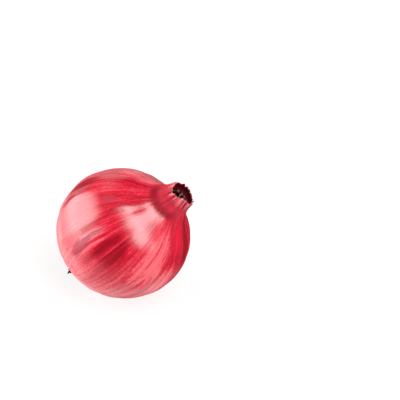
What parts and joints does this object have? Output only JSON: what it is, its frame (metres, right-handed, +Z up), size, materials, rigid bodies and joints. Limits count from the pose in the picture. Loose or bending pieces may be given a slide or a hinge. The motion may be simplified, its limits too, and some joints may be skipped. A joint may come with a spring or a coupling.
{
  "type": "red onion",
  "caption": "Whole dry red onion bulb lying on its lower shoulder, with papery skin drawn up into a pleated, torn neck, dried leaf stubs in its mouth and a tuft of dried roots.",
  "frame": {"origin": "middle of the small flat spot that the onion rests on", "axes": "+Z up, +X is the side that the neck leans to, 44 degrees from upright, with the root end low on the -X side"},
  "size_m": [0.0804, 0.0784, 0.0755],
  "materials": {
    "onion_skin": "satin to glossy papery skin, crimson with paler and darker streaks that run from neck to root",
    "dried_leaf": "dull, very dark brown-red dried leaf",
    "dried_root": "dull, light to dark brown dried root"
  },
  "bodies": {
    "root": {"bulb": "onion_skin", "neck_leaves": "dried_leaf", "root_tuft": "dried_root"}
  },
  "joints": []
}
